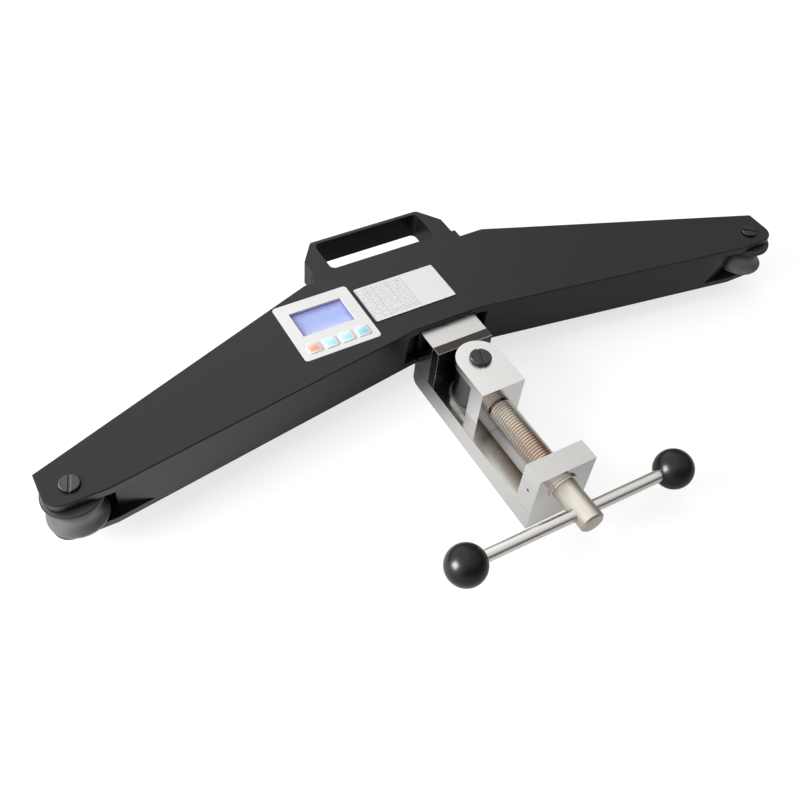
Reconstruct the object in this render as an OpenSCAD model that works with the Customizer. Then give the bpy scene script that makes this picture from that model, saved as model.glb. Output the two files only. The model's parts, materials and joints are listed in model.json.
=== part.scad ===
// Wire rope tension meter: chevron body with two end sheaves, clamp frame, yoke, screw and display.
// Millimetres. X runs along the body, Y to the handle, Z up.
// The origin is the middle of the flat face that the clamp frame stands on.

/* [Body] */
// Overall length of the body
body_len = 680; // [672:1:700]
// Height of the body
body_h = 42; // [40:0.5:46]
// Thickness of the roof
roof_t = 6.5; // [6.5:0.5:8]
// Thickness of the bottom plate
plate_t = 5.5; // [5:0.5:6.5]
// Thickness of the walls
wall_t = 6; // [5:0.5:7]
// Half the length of the straight back edge
back_half = 90; // [86:1:96]
// Back edge, behind the clamp frame's rear face
back_reach = 83.4; // [81:0.2:90]
// Outer end of the arm's back edge, in front of the clamp frame's rear face
arm_end_drop = 7.3; // [5:0.1:9]
// Nose edge, in front of the clamp frame's rear face
nose_front = 41.5; // [40.5:0.5:44]
// Radius of the nose's front corner
nose_r = 13; // [8:0.5:16]
// Length of the straight nose edge, with its corner
nose_len = 43; // [42:0.5:50]
// Front edge beside the clamp frame, in front of the frame's rear face
apex_front = 2; // [1:0.1:4]

/* [Sheaves] */
// Axle centre inboard of the body's end
axle_end = 20; // [18:0.5:23]
// Axle centre behind the nose edge
axle_inset = 15; // [14:0.5:16]
// Diameter over the sheave flanges
sheave_d = 44; // [42:0.5:45]
// Diameter at the bottom of the groove
waist_d = 33; // [30:0.5:36]
// Thickness of the flange at its rim
rim_t = 3; // [2:0.5:4]
// Rounding of the flange's outer edge
rim_round = 2; // [1:0.25:2.5]
// Diameter of the axle
axle_d = 12; // [10:0.5:13]
// Diameter of the axle's slotted head
axle_head_d = 15; // [14:0.5:18]
// Height of the axle's slotted head
axle_head_h = 2.2; // [1.8:0.1:3]
// Turn of the slot in the left axle's head
slot_left = 72; // [0:1:180]
// Turn of the slot in the right axle's head
slot_right = 140; // [0:1:180]
// Wall of the sheave bush
bush_wall = 2; // [1.5:0.5:2.5]
// Thickness of the thrust washers
washer_t = 1; // [0.8:0.1:1.5]
// Window edge inboard of the axle
window_gap = 26; // [24:0.5:28]
// Length of the slanted rope relief beside the window
relief_len = 26; // [20:1:32]
// Depth of the rope relief at the window
relief_depth = 7.8; // [6:0.2:9]

/* [Clamp frame] */
// Width of the frame
frame_w = 52; // [50:0.5:54]
// Height of the frame
frame_h = 60.5; // [58.5:0.5:64]
// Height of the rear arm above the front lug
arm_rise = 0; // [0:0.25:2]
// Thickness of the rear arm
arm_t = 21; // [20:0.5:24]
// Thickness of the base
base_t = 19; // [18:0.5:20]
// Clear length between the rear arm and the front lug
throat = 130.5; // [128:0.5:140]
// Thickness of the front lug
lug_t = 18.5; // [17:0.5:22]
// Radius of the lower rear corner
heel_r = 7; // [4:0.5:10]
// Height of the body's top above the top of the frame
roof_rise = 5.5; // [5:0.25:6.5]
// Height of the screw's axis
axis_h = 40; // [39:0.5:41]
// Width of the guide groove in the base
groove_w = 17; // [14:0.5:20]
// Depth of the guide groove in the base
groove_depth = 8; // [6:0.5:9]

/* [Pad yoke and roller] */
// Thickness of the pressure pad
pad_t = 8.8; // [8:0.2:9.4]
// Roller's clearance from the pad, with the clamp closed
rest_gap = 2.7; // [2.6:0.1:5]
// Diameter over the roller's rims
roller_d = 36; // [35:0.5:36.5]
// Diameter at the bottom of the roller's groove
roller_waist = 32.6; // [32:0.2:34]
// Thickness of the roller's rims
roller_rim = 3; // [2:0.5:4]
// Width of the yoke
yoke_w = 40; // [39:0.5:40]
// Thickness of the yoke's top cheek
cheek_top = 6.2; // [5.6:0.2:7]
// Thickness of the yoke's bottom cheek
cheek_low = 3.3; // [3:0.1:4]
// Overall height of the yoke above the base
yoke_h = 45.2; // [44:0.2:47]
// Thickness of the yoke's front web
web_t = 15.5; // [15:0.1:18]
// Diameter of the roller's pin
pin_d = 10; // [9:0.5:11]
// Diameter of the pin's slotted head
pin_head_d = 18; // [16:0.5:20]
// Height of the pin's slotted head
pin_head_h = 3.2; // [2.6:0.2:4]

/* [Screw and bar] */
// Outer diameter of the thread
screw_d = 20; // [19:0.5:21]
// Diameter of the spigot held in the yoke
spigot_d = 14; // [13:0.5:15]
// Bare length of the neck between the web and the thread
neck_len = 1.6; // [1.2:0.1:2.5]
// Diameter of the bush ring on the lug
ring_d = 26; // [25:0.5:30]
// Thickness of the bush ring on the lug
ring_t = 2; // [1.5:0.1:3]
// Bar's axis, in front of the lug
bar_reach = 24.6; // [22:0.2:30]
// Screw head's end, in front of the bar's axis
head_tail = 12.8; // [10:0.2:14]
// Diameter of the bar
bar_d = 10; // [9:0.5:11]
// Distance between the centres of the ball knobs
bar_len = 193; // [180:1:210]
// Bar's offset from its middle, to the right
bar_shift = -6.8; // [-10:0.2:10]
// Turn of the bar about the screw's axis, right end down
bar_tilt = 2; // [0:0.5:10]
// Diameter of the ball knobs
ball_d = 32; // [28:0.5:35]

/* [Handle] */
// Height of the handle
handle_h = 25; // [22:0.5:26]
// Handle's top, below the body's top
handle_drop = 10.5; // [9:0.5:11]
// Width of the handle over its legs
handle_w = 141; // [139:0.5:146]
// Width of the handle's foot
foot_w = 148; // [147:0.5:152]
// Depth of the handle's foot
foot_depth = 19.3; // [17:0.1:22]
// Width of the hand opening
hand_w = 106; // [100:0.5:108]
// Depth of the hand opening
hand_depth = 35; // [33:0.5:40]
// Thickness of the grip
grip_t = 8; // [7.5:0.5:10]
// Rounding of the grip's outer edges
grip_r = 7; // [4:0.5:7]
// Radius in the corners of the hand opening
hand_r = 5; // [3:0.5:7]

/* [Display] */
// Width of the panel
panel_w = 67.5; // [66:0.5:68]
// Depth of the panel
panel_depth = 64; // [63:0.5:65]
// Panel's middle, to the right of the clamp's middle
panel_x = -92.8; // [-94:0.2:-92]
// Panel's middle, in front of the back edge
panel_back = 46.9; // [46.4:0.1:47.4]
// Corner radius of the panel
panel_r = 3; // [2:0.5:5]
// Width of the screen
screen_w = 47; // [45:0.5:48]
// Depth of the screen
screen_depth = 27.5; // [26:0.5:28]
// Screen's middle, behind the panel's middle
screen_off = 7.2; // [7:0.1:7.6]
// Width of a key
key_w = 12; // [11:0.2:12.2]
// Depth of a key
key_depth = 10.5; // [9.5:0.1:10.8]
// Distance between the keys
key_pitch = 14.5; // [14.3:0.1:14.8]
// Row of keys, in front of the panel's middle
key_off = 21.2; // [21:0.1:22]
// Travel of a key
key_travel = 0.6; // [0.4:0.1:0.7]
// Width of the label
label_w = 77; // [72:0.5:78]
// Depth of the label
label_depth = 41.5; // [38:0.5:44]
// Label's middle, to the right of the clamp's middle
label_x = -17.4; // [-18:0.2:-16]
// Label's middle, in front of the back edge
label_back = 43.2; // [41:0.2:45]

/* [Fits] */
// Radial clearance of turning and sliding fits
run_fit = 0.05; // [0.03:0.01:0.08]
// Side clearance of sliding flat faces
slide_fit = 0.1; // [0.05:0.01:0.2]
// Clearance beside faces that pass each other
pass_gap = 0.3; // [0.25:0.05:0.4]
// Clearance of a screw in its hole
screw_fit = 0.25; // [0.15:0.05:0.4]

/* [Hidden] */
$fn = 48;
eps = 0.01;
over = 1;

body_top = frame_h + roof_rise;
arm_top = frame_h + arm_rise;
body_low = body_top - body_h;
plate_top = body_low + plate_t;
roof_low = body_top - roof_t;
room_h = roof_low - plate_top;
end_x = body_len / 2;
bend_x = end_x - nose_len;
apex_half = frame_w / 2 + 4;
bay_gap = 0.8;
bay_half = frame_w / 2 + bay_gap;
front_slope = (nose_front - apex_front) / (bend_x - apex_half);
back_slope = (back_reach + arm_end_drop) / (end_x - back_half);
front_lean = sqrt(1 + front_slope * front_slope);
back_lean = sqrt(1 + back_slope * back_slope);

axle_x = end_x - axle_end;
axle_y = axle_inset - nose_front;
window_x = axle_x - window_gap;
sheave_h = room_h - 2 * washer_t - 2 * pass_gap;
sheave_low = plate_top + washer_t + pass_gap;
pocket_r = sheave_d / 2 + 0.8;
cell_window = frame_w / 2 + 12.5;

lug_rear = -arm_t - throat;
lug_front = lug_rear - lug_t;
stand_mid = (lug_front - heel_r) / 2;
pad_front = -arm_t - pad_t;
roller_y = pad_front - rest_gap - roller_d / 2;
web_rear = roller_y - roller_d / 2 - 0.5;
web_front = web_rear - web_t;
yoke_low = base_t + slide_fit;
yoke_top = base_t + yoke_h;
roller_low = yoke_low + cheek_low + pass_gap;
roller_top = yoke_top - cheek_top - pass_gap;
tongue_w = groove_w - 2 * slide_fit;
tongue_depth = groove_depth - pass_gap;

spigot_len = 12;
bar_y = lug_front - bar_reach;
head_end = bar_y - head_tail;
ball_flat = 1.2;
bar_end = ball_d / 2 - 6;
bush_d = screw_d + 4;
grub_d = 2.5;

cell_half = 57;
cell_front = 4.6;
cell_depth = 25;
cell_low = plate_top + 1.5;
cell_top = roof_low - 1.5;
cell_mid = (cell_low + cell_top) / 2;
cell_boss = 15;
bolt_gap = 15;
cell_screw_x = cell_half - 9;

handle_top = body_top - handle_drop;
handle_low = handle_top - handle_h;
foot_back = back_reach + foot_depth;
grip_front = foot_back + hand_depth;
grip_back = grip_front + grip_t;
chamfer_half = hand_w / 2 - 1;
chamfer_y = grip_back - 24.5;

panel_t = 2;
panel_proud = 0.4;
panel_low = body_top + panel_proud - panel_t;
lens_t = 1;
board_t = 1.6;
board_top = roof_low - 2.5;
board_w = 68;
panel_y = back_reach - panel_back;
label_y = back_reach - label_back;
board_front = front_edge(-panel_x - board_w / 2) + wall_t * front_lean + 0.7;
board_back = panel_y + 24;
board_depth = board_back - board_front;
board_y = (board_front + board_back) / 2;
screen_y = panel_y + screen_off;
key_y = panel_y - key_off;
key_proud = 0.6;
key_flange = 1;
switch_h = 3;
cell_d = 14.2;
cell_len = 50;
cell_count = 3;
cell_pitch = cell_d + 0.4;
tray_x = 104;
tray_y = 30;
tray_w = cell_len + 8;
tray_depth = cell_count * cell_pitch + 4;

plate_screw_d = 4;
plate_screw_len = 14;
handle_screw_d = 6;
screw_bite = 12;

// Edges of the body in plan, for a distance along the arm
function back_edge(x) = back_reach - max(0, x - back_half) * back_slope;
function front_edge(x) = -apex_front - max(0, x - apex_half) * front_slope;

// Places of the plate screws on the right half
function along_arm(part) = back_half + part * (end_x - back_half);
plate_spots = [
    [along_arm(0.05), back_edge(along_arm(0.05)) - wall_t - 3],
    [along_arm(0.42), back_edge(along_arm(0.42)) - wall_t - 3],
    [along_arm(0.25), front_edge(along_arm(0.25)) + wall_t + 3],
    [along_arm(0.54), front_edge(along_arm(0.54)) + wall_t + 3],
    [window_x + 2, axle_y + 23]
];
handle_spots = [for (part = [-0.41, -0.16, 0.16, 0.41]) part * handle_w];
board_spots = [for (sx = [-1, 1]) for (sy = [-1, 1])
    [panel_x + sx * (board_w / 2 - 3.5), board_y + sy * (board_depth / 2 - 3)]];

// Shapes and places used by several pieces
// Moves a piece drawn from the clamp frame's rear face to its place over the origin
module placed() {
    translate([0, -stand_mid, 0])
        children();
}

module rounded_rect(w, d, r) {
    square([w - 2 * r, d], center = true);
    square([w, d - 2 * r], center = true);
    for (sx = [-1, 1])
        for (sy = [-1, 1])
            translate([sx * (w / 2 - r), sy * (d / 2 - r)])
                circle(r = r);
}

module both_sides() {
    children();
    mirror([1, 0, 0])
        children();
}

module along_y(front, length) {
    translate([0, front + length, 0])
        rotate([90, 0, 0])
            linear_extrude(length)
                children();
}

module slotted_head(d, h, turn) {
    difference() {
        union() {
            cylinder(d = d, h = h * 0.75);
            translate([0, 0, h * 0.75])
                cylinder(d1 = d, d2 = d - h * 0.5, h = h * 0.25);
        }
        rotate([0, 0, turn])
            translate([-d, -0.9, h * 0.5])
                cube([2 * d, 1.8, h]);
    }
}

// Socket screw pointing down from the origin, head above
module socket_screw(d, length) {
    difference() {
        cylinder(d = 1.6 * d, h = d);
        translate([0, 0, 0.45 * d])
            cylinder(d = 0.9 * d, h = d, $fn = 6);
    }
    translate([0, 0, -length])
        cylinder(d = d, h = length + eps);
}

// Flat-headed screw pointing up from the origin, head's face at the origin
module flat_screw(d, length) {
    difference() {
        union() {
            cylinder(d1 = 2 * d, d2 = d, h = 0.5 * d);
            cylinder(d = d, h = length);
        }
        translate([0, 0, -eps])
            cylinder(d = 0.8 * d, h = 0.3 * d, $fn = 6);
    }
}

module flat_screw_hole(d, length) {
    translate([0, 0, -eps])
        cylinder(d1 = 2 * d + 2 * screw_fit, d2 = d + 2 * screw_fit, h = 0.5 * d + eps);
    cylinder(d = d + 2 * screw_fit, h = length);
}

// Body
module body_outline() {
    right = [
        [back_half, back_reach],
        [end_x, -arm_end_drop],
        [end_x, -nose_front],
        [bend_x, -nose_front],
        [apex_half, -apex_front]
    ];
    left = [for (i = [len(right) - 1 : -1 : 0]) [-right[i][0], right[i][1]]];
    difference() {
        polygon(concat(right, left));
        both_sides()
            translate([end_x - nose_r, nose_r - nose_front])
                difference() {
                    translate([0, -nose_r - over])
                        square(nose_r + over);
                    circle(r = nose_r);
                }
    }
}

// Bay for the rear arm of the clamp frame
module bay_outline() {
    translate([-bay_half, bay_gap - 40])
        square([2 * bay_half, 40]);
}

// Hollow for the load cell, board and battery, with bosses left for the plate screws
module room_outline() {
    far = window_x - relief_len - 18;
    corner = back_half - wall_t * (back_lean - 1) / back_slope;
    right = [
        [corner, back_reach - wall_t],
        [far, back_edge(far) - wall_t * back_lean],
        [far, front_edge(far) + wall_t * front_lean],
        [apex_half, -apex_front + wall_t * front_lean]
    ];
    left = [for (i = [len(right) - 1 : -1 : 0]) [-right[i][0], right[i][1]]];
    difference() {
        polygon(concat(right, left));
        for (s = [-1, 1])
            for (p = plate_spots)
                translate([s * p[0], p[1]])
                    circle(r = 6);
    }
}

// Space round one sheave, open to the front and the end, with the rope relief
module sheave_room() {
    translate([axle_x, axle_y])
        circle(r = pocket_r);
    translate([window_x, axle_y - 40])
        square([end_x - window_x + over, 40]);
    translate([axle_x, axle_y - 40])
        square([end_x - axle_x + over, 48]);
    relief_slope = relief_depth / relief_len - front_slope;
    relief_start = window_x - relief_len;
    polygon([
        [window_x + over, front_edge(relief_start) - 20],
        [window_x + over, front_edge(relief_start) + (relief_len + over) * relief_slope],
        [relief_start - 8, front_edge(relief_start) - 8 * relief_slope],
        [relief_start - 8, front_edge(relief_start) - 20]
    ]);
}

module housing() {
    color([0.12, 0.12, 0.13])
    placed()
    difference() {
        translate([0, 0, plate_top])
            linear_extrude(body_top - plate_top)
                body_outline();
        translate([0, 0, plate_top - over])
            linear_extrude(room_h + over)
                room_outline();
        translate([0, 0, plate_top - over])
            linear_extrude(arm_top + bay_gap - plate_top + over)
                bay_outline();
        translate([-cell_window, -20, plate_top - over])
            cube([2 * cell_window, 32, room_h + over]);
        both_sides()
            translate([0, 0, plate_top - over])
                linear_extrude(room_h + over)
                    sheave_room();
        for (s = [-1, 1])
            translate([s * axle_x, axle_y, roof_low - over])
                cylinder(d = axle_d + 2 * run_fit, h = roof_t + 2 * over);
        for (s = [-1, 1])
            for (p = plate_spots)
                translate([s * p[0], p[1], plate_top - over])
                    cylinder(d = plate_screw_d + 2 * screw_fit, h = plate_screw_len - plate_t + 1.5 + over);
        for (x = handle_spots)
            translate([x, back_reach - 20, handle_mid()])
                rotate([-90, 0, 0])
                    cylinder(d = handle_screw_d + 2 * screw_fit, h = 40);
        panel_room();
        translate([label_x, label_y, body_top - 0.3])
            linear_extrude(over)
                rounded_rect(label_w + 2 * screw_fit, label_depth + 2 * screw_fit, 1.5);
    }
}

// Recess for the panel and openings for the screen, the keys and the board's screws
module panel_room() {
    translate([panel_x, panel_y, panel_low])
        linear_extrude(panel_t)
            rounded_rect(panel_w + 2 * screw_fit, panel_depth + 2 * screw_fit, panel_r + screw_fit);
    translate([panel_x, screen_y, roof_low + roof_t / 2])
        cube([screen_w + 6, screen_depth + 6, 2 * roof_t], center = true);
    translate([panel_x, key_y, roof_low + roof_t / 2])
        cube([4 * key_pitch + 1, key_depth + 3, 2 * roof_t], center = true);
    for (p = board_spots)
        translate([p[0], p[1], roof_low - over])
            cylinder(d = 2.5 + 2 * screw_fit, h = 3.5 + over);
}

module bottom_plate() {
    color([0.11, 0.11, 0.12])
    placed()
    difference() {
        translate([0, 0, body_low])
            linear_extrude(plate_t)
                body_outline();
        translate([0, 0, body_low - over])
            linear_extrude(plate_t + 2 * over)
                bay_outline();
        for (s = [-1, 1]) {
            translate([s * axle_x, axle_y, body_low - over])
                cylinder(d = axle_d - 2 + 2 * run_fit, h = plate_t + 2 * over);
            for (p = plate_spots)
                translate([s * p[0], p[1], body_low])
                    flat_screw_hole(plate_screw_d, plate_t + over);
            for (y = cell_screw_rows())
                translate([s * cell_screw_x, y, body_low])
                    flat_screw_hole(6, plate_t + over);
        }
    }
}

module plate_screws() {
    color([0.35, 0.35, 0.37])
    placed()
    for (s = [-1, 1])
        for (p = plate_spots)
            translate([s * p[0], p[1], body_low + 0.1])
                flat_screw(plate_screw_d, plate_screw_len);
}

// Sheaves
module sheave() {
    half = sheave_h / 2 - rim_t;
    depth = (sheave_d - waist_d) / 2;
    groove_r = (half * half + depth * depth) / (2 * depth);
    bore = axle_d / 2 + run_fit + bush_wall;
    translate([0, 0, sheave_low + sheave_h / 2])
        rotate_extrude()
            difference() {
                translate([bore, -sheave_h / 2])
                    square([sheave_d / 2 - bore, sheave_h]);
                translate([waist_d / 2 + groove_r, 0])
                    circle(r = groove_r);
                for (turn = [0, 1])
                    mirror([0, turn])
                        translate([sheave_d / 2 - rim_round, sheave_h / 2 - rim_round])
                            difference() {
                                square(rim_round + over);
                                circle(r = rim_round, $fn = 16);
                            }
            }
}

module sheave_bush() {
    translate([0, 0, sheave_low])
        difference() {
            cylinder(r = axle_d / 2 + run_fit + bush_wall, h = sheave_h);
            translate([0, 0, -over])
                cylinder(r = axle_d / 2 + run_fit, h = sheave_h + 2 * over);
        }
}

module sheave_left() {
    color([0.55, 0.56, 0.58])
    placed()
    translate([-axle_x, axle_y, 0])
        sheave();
}

module sheave_right() {
    color([0.55, 0.56, 0.58])
    placed()
    translate([axle_x, axle_y, 0])
        sheave();
}

module sheave_bush_left() {
    color([0.7, 0.52, 0.3])
    placed()
    translate([-axle_x, axle_y, 0])
        sheave_bush();
}

module sheave_bush_right() {
    color([0.7, 0.52, 0.3])
    placed()
    translate([axle_x, axle_y, 0])
        sheave_bush();
}

module axle_screws() {
    color([0.5, 0.5, 0.52])
    placed()
    for (s = [-1, 1])
        translate([s * axle_x, axle_y, 0]) {
            translate([0, 0, body_top])
                slotted_head(axle_head_d, axle_head_h, s < 0 ? slot_left : slot_right);
            translate([0, 0, plate_top])
                cylinder(d = axle_d, h = body_top - plate_top + eps);
            translate([0, 0, body_low + 0.5])
                cylinder(d = axle_d - 2, h = plate_t);
        }
}

module thrust_washers() {
    color([0.75, 0.6, 0.35])
    placed()
    for (s = [-1, 1])
        for (z = [plate_top, roof_low - washer_t])
            translate([s * axle_x, axle_y, z])
                difference() {
                    cylinder(d = axle_d + 10, h = washer_t);
                    translate([0, 0, -over])
                        cylinder(d = axle_d + 2 * run_fit, h = washer_t + 2 * over);
                }
}

// Handle
function handle_mid() = (handle_top + handle_low) / 2;

module handle_plan() {
    difference() {
        polygon([
            [foot_w / 2, back_reach],
            [foot_w / 2, foot_back],
            [handle_w / 2, foot_back],
            [handle_w / 2, chamfer_y],
            [chamfer_half, grip_back],
            [-chamfer_half, grip_back],
            [-handle_w / 2, chamfer_y],
            [-handle_w / 2, foot_back],
            [-foot_w / 2, foot_back],
            [-foot_w / 2, back_reach]
        ]);
        translate([0, (foot_back + grip_front) / 2])
            rounded_rect(hand_w, hand_depth, hand_r);
    }
}

module handle_side() {
    difference() {
        translate([back_reach - over, handle_low])
            square([grip_back - back_reach + over, handle_h]);
        translate([grip_back - grip_r, handle_low - over])
            square([grip_r + over, grip_r + over]);
        translate([grip_back - grip_r, handle_top - grip_r])
            square([grip_r + over, grip_r + over]);
    }
    for (z = [handle_low + grip_r, handle_top - grip_r])
        translate([grip_back - grip_r, z])
            circle(r = grip_r);
}

module carry_handle() {
    color([0.13, 0.13, 0.14])
    placed()
    difference() {
        intersection() {
            translate([0, 0, handle_low])
                linear_extrude(handle_h)
                    handle_plan();
            translate([-foot_w, 0, 0])
                rotate([90, 0, 90])
                    linear_extrude(2 * foot_w)
                        handle_side();
        }
        for (x = handle_spots)
            translate([x, back_reach - over, handle_mid()])
                rotate([-90, 0, 0])
                    cylinder(d = handle_screw_d + 2 * screw_fit, h = screw_bite + 2 + over);
    }
}

module handle_screws() {
    color([0.35, 0.35, 0.37])
    placed()
    for (x = handle_spots)
        translate([x, back_reach - wall_t, handle_mid()])
            rotate([90, 0, 0])
                socket_screw(handle_screw_d, wall_t + screw_bite);
}

// Load cell
function cell_screw_rows() = [cell_front + 6, cell_front + cell_depth - 6];

module load_cell() {
    color([0.72, 0.73, 0.75])
    placed()
    difference() {
        union() {
            translate([-cell_half, cell_front, cell_low])
                cube([2 * cell_half, cell_depth, cell_top - cell_low]);
            for (s = [-1, 1])
                translate([s * cell_screw_x - 9, cell_front, plate_top])
                    cube([18, cell_depth, 2]);
            translate([-cell_boss, 0, cell_low])
                cube([2 * cell_boss, cell_front + over, cell_top - cell_low]);
        }
        for (s = [-1, 1]) {
            for (y = [-5, 5])
                translate([s * 30, cell_front + cell_depth / 2 + y, plate_top - over])
                    cylinder(d = 13, h = room_h + 2 * over);
            for (y = cell_screw_rows())
                translate([s * cell_screw_x, y, plate_top - over])
                    cylinder(d = 6 + 2 * screw_fit, h = screw_bite + 2 + over);
        }
        for (s = [-1, 1])
            translate([0, -over, cell_mid + s * bolt_gap / 2])
                rotate([-90, 0, 0])
                    cylinder(d = 8 + 2 * screw_fit, h = cell_front + cell_depth + 2 * over);
    }
}

module cell_screws() {
    color([0.35, 0.35, 0.37])
    placed()
    for (s = [-1, 1])
        for (y = cell_screw_rows())
            translate([s * cell_screw_x, y, body_low + 0.1])
                flat_screw(6, plate_t + screw_bite);
}

module clamp_bolts() {
    color([0.3, 0.3, 0.32])
    placed()
    for (s = [-1, 1])
        translate([0, cell_front + cell_depth, cell_mid + s * bolt_gap / 2])
            rotate([-90, 0, 0])
                socket_screw(8, cell_front + cell_depth + 13);
}

// Clamp frame
module frame_side() {
    polygon([
        [0, heel_r],
        [0, arm_top],
        [-arm_t, arm_top],
        [-arm_t, base_t],
        [lug_rear, base_t],
        [lug_rear, frame_h],
        [lug_front, frame_h],
        [lug_front, 0],
        [-heel_r, 0],
        [-heel_r, heel_r]
    ]);
    translate([-heel_r, heel_r])
        circle(r = heel_r);
}

function pad_spots() = [for (sx = [-1, 1]) for (z = [base_t + 8, arm_top - 8]) [sx * (frame_w / 2 - 5.6), z]];

module clamp_frame() {
    color([0.78, 0.78, 0.78])
    placed()
    difference() {
        translate([-frame_w / 2, 0, 0])
            rotate([90, 0, 90])
                linear_extrude(frame_w)
                    frame_side();
        translate([-groove_w / 2, lug_rear, base_t - groove_depth])
            cube([groove_w, throat, groove_depth + over]);
        translate([0, lug_front - over, axis_h])
            rotate([-90, 0, 0])
                cylinder(d = bush_d, h = lug_t + 2 * over);
        translate([-frame_w / 2 - over, (lug_rear + lug_front) / 2, axis_h])
            rotate([0, 90, 0])
                cylinder(d = grub_d + 2 * run_fit, h = frame_w / 2 - bush_d / 4);
        for (s = [-1, 1])
            translate([0, over, cell_mid + s * bolt_gap / 2])
                rotate([90, 0, 0])
                    cylinder(d = 8 + 2 * screw_fit, h = 14 + over);
        for (p = pad_spots())
            translate([p[0], 0, p[1]])
                rotate([90, 0, 0]) {
                    translate([0, 0, -over])
                        cylinder(d = 8.4, h = 6 + over);
                    cylinder(d = 5 + 2 * screw_fit, h = arm_t + over);
                }
    }
}

module pressure_pad() {
    color([0.22, 0.18, 0.16])
    placed()
    difference() {
        translate([-frame_w / 2, pad_front, base_t])
            cube([frame_w, pad_t, arm_top - base_t]);
        for (p = pad_spots())
            translate([p[0], -arm_t + over, p[1]])
                rotate([90, 0, 0])
                    cylinder(d = 5 + 2 * screw_fit, h = 5 + over);
    }
}

module pad_screws() {
    color([0.35, 0.35, 0.37])
    placed()
    for (p = pad_spots())
        translate([p[0], -5.5, p[1]])
            rotate([-90, 0, 0])
                socket_screw(5, arm_t - 5.5 + 4);
}

// Yoke and roller
module yoke_plan() {
    translate([-yoke_w / 2, web_front])
        square([yoke_w, roller_y - web_front]);
    translate([0, roller_y])
        circle(d = yoke_w);
}

module yoke() {
    color([0.76, 0.76, 0.77])
    placed()
    difference() {
        union() {
            translate([0, 0, yoke_low])
                linear_extrude(yoke_top - yoke_low)
                    yoke_plan();
            translate([-tongue_w / 2, web_front, base_t - tongue_depth])
                cube([tongue_w, web_t, tongue_depth + 1]);
        }
        translate([-yoke_w, web_rear, yoke_low + cheek_low])
            cube([2 * yoke_w, 60, yoke_top - cheek_top - yoke_low - cheek_low]);
        translate([0, roller_y, yoke_low - over])
            cylinder(d = pin_d + 2 * run_fit, h = yoke_h + 2 * over);
        translate([0, web_front - over, axis_h])
            rotate([-90, 0, 0])
                cylinder(d = spigot_d + 2 * run_fit, h = spigot_len + 0.5 + over);
        for (s = [-1, 1])
            translate([-13, web_front + spigot_len - 5, axis_h + s * pin_offset()])
                rotate([0, 90, 0])
                    cylinder(d = 4 + 2 * run_fit, h = yoke_w / 2 + 13 + over);
    }
}

// Distance of the retaining pins from the screw's axis, half sunk in the spigot's groove
function pin_offset() = spigot_d / 2;

module retaining_pins() {
    color([0.4, 0.4, 0.42])
    placed()
    for (s = [-1, 1])
        translate([-12.5, web_front + spigot_len - 5, axis_h + s * pin_offset()])
            rotate([0, 90, 0])
                cylinder(d = 4, h = yoke_w / 2 + 12);
}

module roller_profile() {
    bore = pin_d / 2 + run_fit + 2;
    height = roller_top - roller_low;
    half = height / 2 - roller_rim;
    depth = (roller_d - roller_waist) / 2;
    groove_r = (half * half + depth * depth) / (2 * depth);
    difference() {
        translate([bore, 0])
            square([roller_d / 2 - bore, height]);
        translate([roller_waist / 2 + groove_r, height / 2])
            circle(r = groove_r, $fn = 120);
    }
}

module roller() {
    color([0.66, 0.67, 0.69])
    placed()
    translate([0, roller_y, roller_low])
        rotate_extrude()
            roller_profile();
}

module roller_bush() {
    color([0.7, 0.52, 0.3])
    placed()
    translate([0, roller_y, roller_low])
        difference() {
            cylinder(r = pin_d / 2 + run_fit + 2, h = roller_top - roller_low);
            translate([0, 0, -over])
                cylinder(r = pin_d / 2 + run_fit, h = roller_top - roller_low + 2 * over);
        }
}

module roller_pin() {
    color([0.5, 0.5, 0.52])
    placed()
    translate([0, roller_y, 0]) {
        translate([0, 0, yoke_top])
            slotted_head(pin_head_d, pin_head_h, 72);
        translate([0, 0, yoke_low + 0.2])
            cylinder(d = pin_d, h = yoke_top - yoke_low);
    }
}

// Screw, bar and knobs
module lead_screw() {
    color([0.75, 0.73, 0.7])
    placed()
    translate([0, 0, axis_h])
        rotate([0, bar_tilt, 0])
            difference() {
                translate([0, head_end, 0])
                    rotate([-90, 0, 0])
                        screw_turned();
                translate([-screw_d, bar_y, 0])
                    rotate([0, 90, 0])
                        cylinder(d = bar_d + 2 * run_fit, h = 2 * screw_d);
                translate([0, web_front + spigot_len - 5, 0])
                    rotate([90, 0, 0])
                        rotate_extrude()
                            translate([pin_offset(), 0])
                                circle(d = 4 + 2 * pass_gap);
            }
}

module screw_turned() {
    thread_end = web_front - neck_len - head_end;
    edge = 1.5;
    cylinder(d1 = screw_d - 2 * edge, d2 = screw_d, h = edge);
    translate([0, 0, edge])
        cylinder(d = screw_d, h = thread_end - 2 * edge);
    translate([0, 0, thread_end - edge])
        cylinder(d1 = screw_d, d2 = screw_d - 2 * edge, h = edge);
    cylinder(d = spigot_d, h = thread_end + neck_len + spigot_len);
}

module thread_bush() {
    color([0.72, 0.7, 0.66])
    placed()
    translate([0, 0, axis_h])
        difference() {
            union() {
                along_y(lug_front, lug_t)
                    circle(d = bush_d);
                along_y(lug_front - ring_t, ring_t)
                    circle(d = ring_d);
            }
            translate([0, lug_front - ring_t - over, 0])
                rotate([-90, 0, 0])
                    cylinder(d = screw_d + 2 * run_fit, h = lug_t + ring_t + 2 * over);
        }
}

module bush_set_screw() {
    color([0.25, 0.25, 0.27])
    placed()
    translate([-frame_w / 2 + 1, (lug_rear + lug_front) / 2, axis_h])
        rotate([0, 90, 0])
            difference() {
                cylinder(d = grub_d, h = frame_w / 2 - 1 - bush_d / 2);
                translate([0, 0, -over])
                    cylinder(d = grub_d / 2, h = grub_d + over, $fn = 6);
            }
}

module at_bar() {
    translate([0, bar_y, axis_h])
        rotate([0, bar_tilt, 0])
            translate([bar_shift, 0, 0])
                children();
}

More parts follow.
